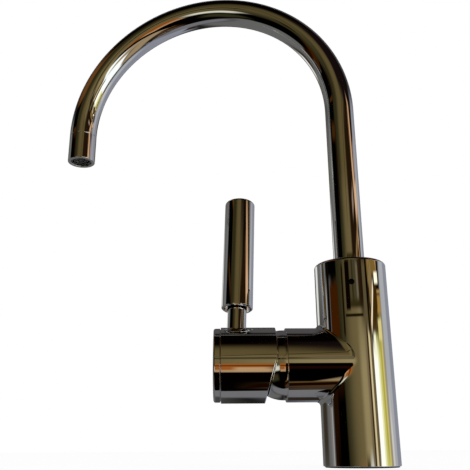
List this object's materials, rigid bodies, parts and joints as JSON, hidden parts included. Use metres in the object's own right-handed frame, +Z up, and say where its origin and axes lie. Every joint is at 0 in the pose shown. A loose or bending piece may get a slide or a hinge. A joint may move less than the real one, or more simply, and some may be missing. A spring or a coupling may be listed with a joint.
{
  "type": "basin mixer tap",
  "caption": "Basin mixer tap with a tall gooseneck spout that swivels and a side lever on a round arm, with a ceramic disc cartridge inside.",
  "frame": {"origin": "middle of the base on the deck, on the body's vertical axis", "axes": "+Z up along the body, -X along the lever arm, +Y towards the spout's outlet side at rest"},
  "size_m": [0.2191, 0.0712, 0.3392],
  "materials": {
    "chrome": "polished",
    "steel": "satin",
    "brass": "satin",
    "black_rubber": "matte",
    "white_plastic": "satin",
    "grey_plastic": "satin",
    "ceramic": "polished",
    "gauze": "satin"
  },
  "bodies": {
    "root": {"tap_body": "chrome", "base_gasket": "black_rubber", "spout_lock_screw": "steel", "spout_bearing_ring": "white_plastic", "cartridge_base": "grey_plastic", "cartridge_seals": "black_rubber", "fixed_disc": "ceramic", "cartridge_housing": "grey_plastic", "cartridge_nut": "brass", "neck_ring": "chrome"},
    "spout": {"spout_tube": "chrome", "spout_spigot": "brass", "spout_seals": "black_rubber", "aerator_housing": "chrome", "aerator_gauze": "gauze", "aerator_insert": "white_plastic", "aerator_washer": "black_rubber"},
    "cartridge_rotor": {"cartridge_rotor": "white_plastic", "stem_pin": "steel"},
    "disc": {"moving_disc": "ceramic", "disc_carrier": "white_plastic"},
    "lever": {"lever_stem": "steel", "lever_housing": "chrome", "end_cover": "chrome", "handle_screw": "steel", "lever_pin": "chrome", "lever_grip": "chrome"}
  },
  "joints": [
    {"name": "spout_swivel", "type": "hinge", "parent": "root", "child": "spout", "pos_m": [0, 0, 0.1], "axis": [0, 0, 1], "continuous": true},
    {"name": "lever_temperature", "type": "hinge", "parent": "root", "child": "cartridge_rotor", "pos_m": [-0.0445, 0, 0.0591], "axis": [-1, 0, 0], "range_deg": [-52.8, 37.2]},
    {"name": "lever_flow", "type": "hinge", "parent": "cartridge_rotor", "child": "lever", "pos_m": [-0.0445, 0, 0.0591], "axis": [0, -0.9907, 0.1357], "range_deg": [0, 25]},
    {"name": "disc_slide", "type": "slide", "parent": "cartridge_rotor", "child": "disc", "axis": [0, 0.1357, 0.9907], "range_m": [0, 0.00604]}
  ],
  "couplings": [
    {"joint": "disc_slide", "follows": "lever_flow", "m_per_rad": 0.013831}
  ]
}
